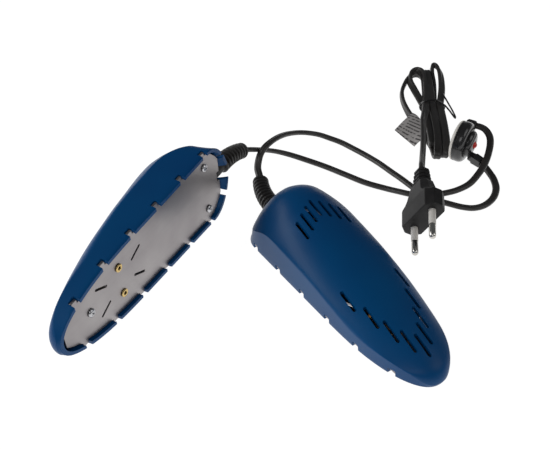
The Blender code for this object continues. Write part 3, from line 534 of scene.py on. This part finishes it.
def make_label():
    """A paper flag by the outer run of cord: one sheet, slightly curled."""
    near = [Vector(p) for p in [(108.4, 158.6, 5.0), (115.5, 146.0, 9.0), (109.5, 119.5, 7.6)]]
    far = [Vector(p) for p in [(93.4, 137.0, 4.2), (104.3, 117.4, 3.4)]]
    columns, rows = 14, 12
    bm = bmesh.new()
    grid = []
    for i in range(columns + 1):
        s = i / columns
        a = near[0].lerp(near[1], s).lerp(near[1].lerp(near[2], s), s)
        b = far[0].lerp(far[1], s)
        row = []
        for j in range(rows + 1):
            t = j / rows
            row.append(a.lerp(b, t) + Vector((0, 0, 0.7 * math.sin(math.pi * t) * (0.5 + 0.5 * s))))
        grid.append([bm.verts.new(p) for p in row])
    for first, second in zip(grid, grid[1:]):
        for j in range(rows):
            bm.faces.new((first[j], first[j + 1], second[j + 1], second[j]))
    label = add_object("label_flag", mesh_from(bm, "label_flag"), "paper", sharp_angle=80)
    skin = label.modifiers.new("thickness", "SOLIDIFY")
    skin.thickness = 0.25 * MM
    skin.offset = 0
    flatten(label)
    keep(label, "cord_label")
    return [label]


# ---- one dryer ----
def along(knots, x):
    """A smooth curve through (position, value) knots, read at x."""
    spots = [k[0] for k in knots]
    x = min(max(x, spots[0]), spots[-1])
    i = max(0, min(len(knots) - 2, sum(1 for s in spots if s <= x) - 1))
    slopes = []
    for j in (i, i + 1):
        a, b = knots[max(j - 1, 0)], knots[min(j + 1, len(knots) - 1)]
        slopes.append((b[1] - a[1]) / (b[0] - a[0]))
    (x0, y0), (x1, y1) = knots[i], knots[i + 1]
    span = x1 - x0
    t = (x - x0) / span
    bend = t * t * (3 - 2 * t)
    return y0 + (y1 - y0) * bend + span * t * (1 - t) * ((1 - t) * slopes[0] - t * slopes[1])


def half_width(x):
    width = SIDE_WIDTH - SIDE_TAPER * (x - SIDE_START_X)
    heel = max(0.0, (HEEL_ROUND_X - x) / HEEL_ROUND_LENGTH)
    toe = max(0.0, (x - TOE_ROUND_X) / TOE_ROUND_LENGTH)
    width *= max(0.0, 1 - min(heel, 1) ** HEEL_POWERS[0]) ** HEEL_POWERS[1]
    return width * max(0.0, 1 - min(toe, 1) ** TOE_POWERS[0]) ** TOE_POWERS[1]


def top_height(x, spread):
    """Height of the top at x, where spread is 0 on the spine and 1 at the top of the flank."""
    flank = along(FLANK_TOP, x)
    dome = (along(CROWN, x) - flank) * max(0.0, 1 - spread ** 4.5) ** 0.36
    return flank + dome + along(HUMP, x) * max(0.0, 1 - spread ** 2.4) ** 1.1


def spine_point(p):
    return Vector((min(max(p.x, SPINE[0]), SPINE[1]), 0, 0))


def toward_spine(p):
    return (spine_point(p) - Vector((p.x, p.y, 0))).normalized()


def shell_rings(count):
    """Closed rings up inside the wall from the top to the rim, then up outside to the top."""
    middle, reach = (HEEL_X + TOE_X) / 2, (TOE_X - HEEL_X) / 2
    rim = []
    for i in range(count):
        angle = 2 * math.pi * i / count
        x = middle - reach * math.cos(angle)
        rim.append(Vector((x, (1 if angle < math.pi else -1) * half_width(x), 0)))
    outer, inner = [], []
    for level in (0.0, 0.05, 0.2, 0.4, 0.6, 0.8, 0.92, 1.0):
        ring = []
        for p in rim:
            q = p + toward_spine(p) * (along(LEAN, p.x) * level + (0.35 if level == 0.0 else 0.0))
            ring.append(Vector((q.x, q.y, along(FLANK_TOP, q.x) * level)))
        outer.append(ring)
        inner.append(lined(ring, 1.0 - 0.15 * level ** 4, 0.45 * level ** 4 if level > 0.5 else 0.0))
    edge = outer[-1]
    for spread in (0.998, 0.99, 0.975, 0.95, 0.92, 0.88, 0.83, 0.77, 0.7, 0.62, 0.54, 0.45, 0.36, 0.27, 0.18,
                   0.09, 0.0):
        ring = []
        for p in edge:
            spine = spine_point(p)
            q = spine + (Vector((p.x, p.y, 0)) - spine) * spread
            ring.append(Vector((q.x, q.y, top_height(q.x, spread))))
        outer.append(ring)
        if spread in (0.975, 0.92, 0.83, 0.7, 0.54, 0.36, 0.18, 0.0):
            inner.append(lined(ring, max(0.0, spread - 0.5) * 1.5, min(1.0, 0.5 + (1 - spread) * 5)))
    return inner[::-1] + outer


def lined(ring, inset, drop):
    return [p + toward_spine(p) * WALL * inset - Vector((0, 0, WALL * drop)) for p in ring]


def notch_stations():
    spots = [(i - (NOTCH_COUNT - 1) / 2) * NOTCH_PITCH for i in range(NOTCH_COUNT)]
    return [(x, half_width(x)) for x in spots]


def notch_outline():
    """A notch that is open below, with its two upper corners rounded."""
    half = NOTCH_WIDTH / 2
    outline = [(-half, BELOW_RIM), (half, BELOW_RIM)]
    for way, start in ((1, 0), (-1, math.pi / 2)):
        for k in range(5):
            angle = start + math.pi / 2 * k / 4
            outline.append((way * (half - NOTCH_CORNER) + NOTCH_CORNER * math.cos(angle),
                            NOTCH_TOP - NOTCH_CORNER + NOTCH_CORNER * math.sin(angle)))
    return outline


def arch_outline():
    """The boot's opening: a half round on straight legs, open below."""
    outline = [(ARCH_RADIUS, BELOW_RIM)]
    for i in range(17):
        angle = math.pi * i / 16
        outline.append((ARCH_RADIUS * math.cos(angle), BOOT_AXIS_Z + ARCH_RADIUS * math.sin(angle)))
    return outline + [(-ARCH_RADIUS, BELOW_RIM)]


def make_top_shell(side, matrix):
    bm = bmesh.new()
    loft(bm, shell_rings(200))
    bmesh.ops.remove_doubles(bm, verts=bm.verts, dist=0.02)
    shell = add_object(f"{side}_shell", mesh_from(bm, "shell"), "blue_plastic", matrix)
    openings = bmesh.new()
    for y, start in HEEL_VENTS + TOE_VENTS:
        for way in ((1, -1) if y else (1,)):
            add_slot(openings, VENT_LENGTH, VENT_WIDTH, 30, place((start + VENT_LENGTH / 2, way * y, 25.5)))
    upright = math.pi / 2
    for x, half in notch_stations():
        for way in (1, -1):
            add_prism(openings, notch_outline(), 9, place((x, way * half, 0), (upright, 0, 0)))
    tab_x, tab_y = HEEL_TAB_SPOT
    tab = [(-HEEL_TAB_HALF, BELOW_RIM), (HEEL_TAB_HALF, BELOW_RIM), (HEEL_TAB_HALF, NOTCH_TOP),
           (-HEEL_TAB_HALF, NOTCH_TOP)]
    for way in (1, -1):
        add_prism(openings, tab, 3.4, place((tab_x, way * tab_y, 0), (upright, 0, way * -HEEL_TAB_TURN)))
    add_prism(openings, arch_outline(), 15, place((-76, 0, 0), (upright, 0, upright)))
    cut(shell, openings, 0.22)
    keep(shell, f"{side}_top_shell")


def plate_edge(x):
    lean = max(0.0, -60 - x) * 0.42 + max(0.0, x - 55) * 0.12
    return half_width(x) - WALL - 0.5 - lean


def make_sole_plate(side, matrix):
    ear = NOTCH_WIDTH / 2 - 0.35
    outline = [(-68.4, 3.2), (-70.8, 3.2), (-70.8, plate_edge(-70.8)), (-68.5, plate_edge(-68.5)),
               (-65.0, plate_edge(-65.0)), (-62.0, plate_edge(-62.0))]
    for spot, half in notch_stations():
        inner = plate_edge(spot)
        outline += [(spot - ear, inner + SIDE_TAPER * ear), (spot - ear, half - 0.3),
                    (spot + ear, half - 0.5), (spot + ear, inner - SIDE_TAPER * ear)]
        if spot + NOTCH_PITCH < TOE_X:
            outline += [(x, plate_edge(x)) for x in (spot + NOTCH_PITCH * 0.3, spot + NOTCH_PITCH / 2,
                                                     spot + NOTCH_PITCH * 0.7)]
    outline += [(x, plate_edge(x)) for x in (60.0, 62.0, 64.0, 66.0, 68.0)]
    outline += [(x, -y) for x, y in reversed(outline)]
    bm = bmesh.new()
    add_prism(bm, outline, PLATE_THICKNESS, place((0, 0, PLATE_Z + PLATE_THICKNESS / 2)))
    finish = f"brushed_plate_{side}"
    plate = add_object(f"{side}_plate", mesh_from(bm, "plate"), finish, matrix)
    holes = bmesh.new()
    for x, y in SCREW_SPOTS:
        bmesh.ops.create_cone(holes, cap_ends=True, segments=32, radius1=1.5, radius2=1.5, depth=6,
                              matrix=place((x, y, PLATE_Z)))
    for way in (1, -1):
        bmesh.ops.create_cone(holes, cap_ends=True, segments=32, radius1=1.75, radius2=1.75, depth=6,
                              matrix=place((EYELET_X, way * EYELET_Y, PLATE_Z)))
        for end in (1, -1):
            add_slot(holes, *CROSS_SLOT_SIZE, 6,
                     place((EYELET_X + end * CROSS_SLOT[0], way * CROSS_SLOT[1], PLATE_Z),
                           (0, 0, way * end * math.radians(27))))
    cut(plate, holes, 0.15)
    keep(plate, f"{side}_sole_plate")


def make_fixings(side, matrix):
    """Pan-head screws with a cross recess, and rolled eyelets."""
    for number, (x, y) in enumerate(SCREW_SPOTS, 1):
        bm = bmesh.new()
        profile = [(0, 9.4), (0.4, 9.2), (1.1, 8.4), (1.1, 0), (2.3, 0), (2.35, -0.3), (2.1, -0.8),
                   (1.5, -1.15), (0.8, -1.3), (0, -1.32)]
        turned(bm, profile, steps=32)
        screw = add_object(f"{side}_cross_screw_{number}", mesh_from(bm, "screw"), "steel",
                           matrix @ Matrix.Translation(Vector((x, y, HEAD_Z)) * MM))
        arm, half = 1.1, 0.25
        recess = bmesh.new()
        corners = [(arm, -half), (arm, half), (half, half), (half, arm), (-half, arm), (-half, half),
                   (-arm, half), (-arm, -half), (-half, -half), (-half, -arm), (half, -arm), (half, -half)]
        add_prism(recess, corners, 1.6, place((0, 0, -1.3), (0, 0, 0.3 * number)))
        cut(screw, recess, 0.05)
        keep(screw, f"{side}_screw_{number}")
    for number, way in enumerate((1, -1), 1):
        bm = bmesh.new()
        profile = [(1.0, 3.9), (2.2, 3.9), (2.2, 3.5), (1.4, 3.4), (1.4, 0.0), (2.2, 0.0), (2.35, -0.1),
                   (2.3, -0.4), (2.05, -0.62), (1.6, -0.7), (1.2, -0.62), (1.05, -0.45)]
        turned(bm, profile, steps=40)
        eyelet = add_object(f"{side}_rolled_eyelet_{number}", mesh_from(bm, "eyelet"), "brass",
                            matrix @ Matrix.Translation(Vector((EYELET_X, way * EYELET_Y, HEAD_Z)) * MM))
        keep(eyelet, f"{side}_eyelet_{number}")


def boot_centre(x, bend):
    free = max(0.0, (-80 - x) / (-80 - BOOT_TIP_X))
    return Vector((x, bend[0] * free ** 2, BOOT_AXIS_Z + bend[1] * free ** 2))


def make_boot(side, matrix, bend):
    """Ribbed strain relief that follows the bend of the lead."""
    stations = [(-69.0, 3.4), (-69.3, 4.0), (-70.0, 4.2), (-79.3, 4.2), (-79.4, 5.0), (RIBS_X, 5.4)]
    pitch = RIBS_LENGTH / RIB_COUNT
    for rib in range(RIB_COUNT):
        crest, core = 5.8 - 0.9 * rib / RIB_COUNT, 2.9 - 0.4 * rib / RIB_COUNT
        start = RIBS_X - rib * pitch
        for step, radius in ((0.04, crest - 0.2), (0.08, crest), (0.36, crest), (0.40, crest - 0.2),
                             (0.46, core), (0.97, core)):
            stations.append((start - step * pitch, radius))
    stations.append((stations[-1][0] - 0.1, 2.4))
    rings = []
    for x, radius in stations:
        centre = boot_centre(x, bend)
        ahead = boot_centre(x - 0.5, bend) - boot_centre(x + 0.5, bend)
        turn = ahead.to_track_quat("Z", "Y")
        rings.append([centre + turn @ spot for spot in circle(radius, 40)])
    bm = bmesh.new()
    loft(bm, rings, True)
    boot = add_object(f"{side}_ribbed_boot", mesh_from(bm, "boot"), "black_rubber", matrix)
    keep(boot, f"{side}_cord_boot")


def make_dryer(side):
    location, degrees, bend = DRYERS[side]
    matrix = frame_matrix(location, degrees)
    make_top_shell(side, matrix)
    make_sole_plate(side, matrix)
    make_fixings(side, matrix)
    make_boot(side, matrix, bend)


# ---- junction ----
def make_junction():
    spot, turn = JUNCTION_PLACE
    matrix = frame_matrix(spot, (0, 90, turn))
    barrel = [(8.9, 7.0), (10.2, 6.9), (11.6, 6.5), (12.6, 5.7), (13.2, 4.6), (13.4, 3.4), (13.4, 1.9),
              (13.05, 1.6), (13.05, 1.0), (13.4, 0.7), (13.4, 0.0), (11.8, 0), (11.8, 3.6), (11, 4.7),
              (8.9, 4.9)]
    back = [(0, -0.05), (13.2, -0.05), (13.35, -0.4), (13.2, -1.1), (12.6, -1.8), (11.2, -2.3), (8, -2.5),
            (0, -2.5)]
    disc = [(2.5, 10.2), (3.0, 10.7), (5.6, 10.5), (7.4, 9.9), (8.4, 9.0), (8.75, 8.0), (8.3, 7.6),
            (8.3, 7.2), (8.8, 6.9), (8.8, 3.0), (2.5, 3.0)]
    lens = [(0, 12.4), (0.8, 12.25), (1.6, 11.7), (2.1, 10.9), (2.3, 10.0), (2.3, 7.4), (0, 7.4)]
    pieces = {
        "junction_barrel": ("junction_housing", "black_gloss", "black_rubber", barrel),
        "junction_back": ("junction_rear_cover", "grey_plastic", "grey_plastic", back),
        "junction_disc": ("junction_front_cap", "black_gloss", "black_rubber", disc),
        "red_lamp_lens": ("indicator_lens", "red_lens", "red_lens", lens),
    }
    for name, (node, material, slot, profile) in pieces.items():
        bm = bmesh.new()
        turned(bm, profile, steps=64)
        piece = add_object(name, mesh_from(bm, name), material, matrix)
        keep(piece, node)
    for node, (behind, up, middle), lean in GLANDS:
        own = matrix @ Matrix.Translation(Vector((-up, behind, middle)) * MM)
        own = own @ Matrix.Rotation(math.radians(lean), 4, "X")
        bm = bmesh.new()
        if node == "upper_gland":
            profile = [(0, 3.2), (2.2, 3.2), (2.9, 2.7), (3.2, 1.6), (3.2, -2.6), (2.6, -3.4), (0, -3.6)]
            turned(bm, profile, steps=32)
        else:
            block = ((1, 0.8), (0.8, 1), (-0.8, 1), (-1, 0.8), (-1, -0.8), (-0.8, -1), (0.8, -1), (1, -0.8))
            rings = []
            for z, wide, tall in ((-7.6, 2.5, 2.2), (-4.2, 2.7, 2.4), (-4.0, 3.2, 2.9), (2.4, 3.0, 2.7),
                                  (2.9, 2.6, 2.3)):
                rings.append([Vector((x * tall, y * wide, z)) for x, y in block])
            loft(bm, rings, True)
        gland = add_object(node + "_sleeve", mesh_from(bm, node), "black_gloss", own)
        keep(gland, node)


# ---- plug ----
def plug_section(half, depth, end_flat, back):
    """A ring across the plug with softened corners; back is its distance behind the front face."""
    side = half - (depth - end_flat) * 0.95
    quarter = [(half, end_flat), (side, depth)]
    front = quarter + [(-x, y) for x, y in reversed(quarter)]
    corners = [Vector(p) for p in front] + [-Vector(p) for p in front]
    ring = []
    for i, here in enumerate(corners):
        before, after = corners[i - 1], corners[(i + 1) % 8]
        for other, amount in ((before, 1.0), (before, 0.35), (after, 0.35), (after, 1.0)):
            reach = min(PLUG_CORNER * amount, (other - here).length * 0.45)
            ring.append(here + (other - here).normalized() * reach)
    return [Vector((p.x, p.y, back)) for p in ring]


def make_plug():
    matrix = frame_matrix(*PLUG_PLACE)
    sections = [(14.9, 5.9, 2.2, 0.0), (15.5, 6.3, 2.4, 0.25), (15.8, 6.5, 2.6, 0.9), (15.8, 6.5, 2.6, 11.2),
                (15.3, 6.5, 2.6, 12.2), (12.6, 6.3, 2.4, 13.8), (10.8, 6.0, 2.3, 16.2), (9.4, 5.5, 2.2, 20.2),
                (7.9, 4.9, 2.1, 24.4), (6.6, 4.3, 1.9, 26.0)]
    for rib in range(4):
        start = 26.3 + rib * 3
        crest, groove = 6.1 - 0.5 * rib, 4.7 - 0.5 * rib
        high, low = 4.4 - 0.2 * rib, 3.2 - 0.2 * rib
        sections += [(crest - 0.3, high - 0.3, 1.7, start), (crest, high, 1.8, start + 0.3),
                     (crest, high, 1.8, start + 1.4), (crest - 0.3, high - 0.3, 1.7, start + 1.7),
                     (groove, low, 1.4, start + 1.9), (groove, low, 1.4, start + 2.8)]
    bm = bmesh.new()
    loft(bm, [plug_section(*section) for section in sections], True)
    body = add_object("plug_shell", mesh_from(bm, "plug"), "black_plug", matrix, 40)
    sockets = bmesh.new()
    for way in (1, -1):
        bmesh.ops.create_cone(sockets, cap_ends=True, segments=32, radius1=2.35, radius2=2.35, depth=8,
                              matrix=place((way * PIN_HALF_PITCH, 0, 0)))
    cut(body, sockets, 0.12)
    keep(body, "plug_body")
    made = [body]
    for number, way in enumerate((1, -1), 1):
        own = matrix @ Matrix.Translation(Vector((way * PIN_HALF_PITCH, 0, 0)) * MM)
        own = own @ Matrix.Rotation(way * math.radians(PIN_TURN), 4, "Y")
        bm = bmesh.new()
        turned(bm, [(0, 3.6), (1.4, 3.6), (1.4, -9.8), (1.9, -9.9), (2.0, -10.1), (2.0, -17.2), (1.85, -18.0),
                    (1.4, -18.65), (0.7, -18.95), (0, -19.0)], steps=40)
        pin = add_object(f"nickel_pin_{number}", mesh_from(bm, "pin"), "nickel", own)
        keep(pin, f"plug_pin_{number}")
        bm = bmesh.new()
        turned(bm, [(1.45, 3.4), (2.05, 3.4), (2.05, -9.4), (1.95, -9.7), (1.45, -9.7)], steps=40)
        sleeve = add_object(f"insulating_sleeve_{number}", mesh_from(bm, "sleeve"), "grey_plastic",
                            own)
        keep(sleeve, f"pin_sleeve_{number}")
        made += [pin, sleeve]
    return made


# ---- assembly ----
def finish_cad_nodes():
    """Give every CAD node that still shows its procedural material."""
    slots = {row["node"]: row["material_slot"] for row in frame["record"]["subparts"]}
    for name, node in frame["nodes"].items():
        if slots[name] not in MATERIALS:
            continue
        node.data.materials.clear()
        node.data.materials.append(MATERIALS[slots[name]])


def make_camera():
    data = bpy.data.cameras.new("view")
    data.lens = LENS_MM
    data.sensor_width = SENSOR_MM
    camera = bpy.data.objects.new("view", data)
    bpy.context.scene.collection.objects.link(camera)
    back = Vector((0, -math.cos(CAMERA_ELEVATION), math.sin(CAMERA_ELEVATION)))
    camera.location = CAMERA_AIM + back * CAMERA_DISTANCE
    camera.rotation_euler = (math.pi / 2 - CAMERA_ELEVATION, 0, 0)
    bpy.context.scene.camera = camera


def area_light(name, location, size, power):
    data = bpy.data.lights.new(name, "AREA")
    data.shape = "RECTANGLE"
    data.size, data.size_y = size
    data.energy = power
    light = bpy.data.objects.new(name, data)
    bpy.context.scene.collection.objects.link(light)
    light.location = location
    light.rotation_euler = (Vector(LIGHT_AIM) - Vector(location)).to_track_quat("-Z", "Y").to_euler()


def make_studio():
    bm = bmesh.new()
    bmesh.ops.create_grid(bm, x_segments=1, y_segments=1, size=3000)
    mesh = mesh_from(bm, "floor")
    floor = bpy.data.objects.new("floor", mesh)
    bpy.context.scene.collection.objects.link(floor)
    floor.location.z = -0.05 * MM
    mesh.materials.append(floor_material())
    world = bpy.data.worlds.new("studio")
    bpy.context.scene.world = world
    world.use_nodes = True
    background = world.node_tree.nodes["Background"]
    background.inputs["Color"].default_value = SKY
    background.inputs["Strength"].default_value = SKY_STRENGTH
    for light in LIGHTS:
        area_light(*light)
    bpy.context.scene.view_settings.view_transform = "Standard"


make_camera()
plug_pieces = make_plug()
make_junction()
hank_pieces = make_twist_tie() + make_label()
make_cords()
for which in DRYERS:
    make_dryer(which)
finish_cad_nodes()
make_studio()
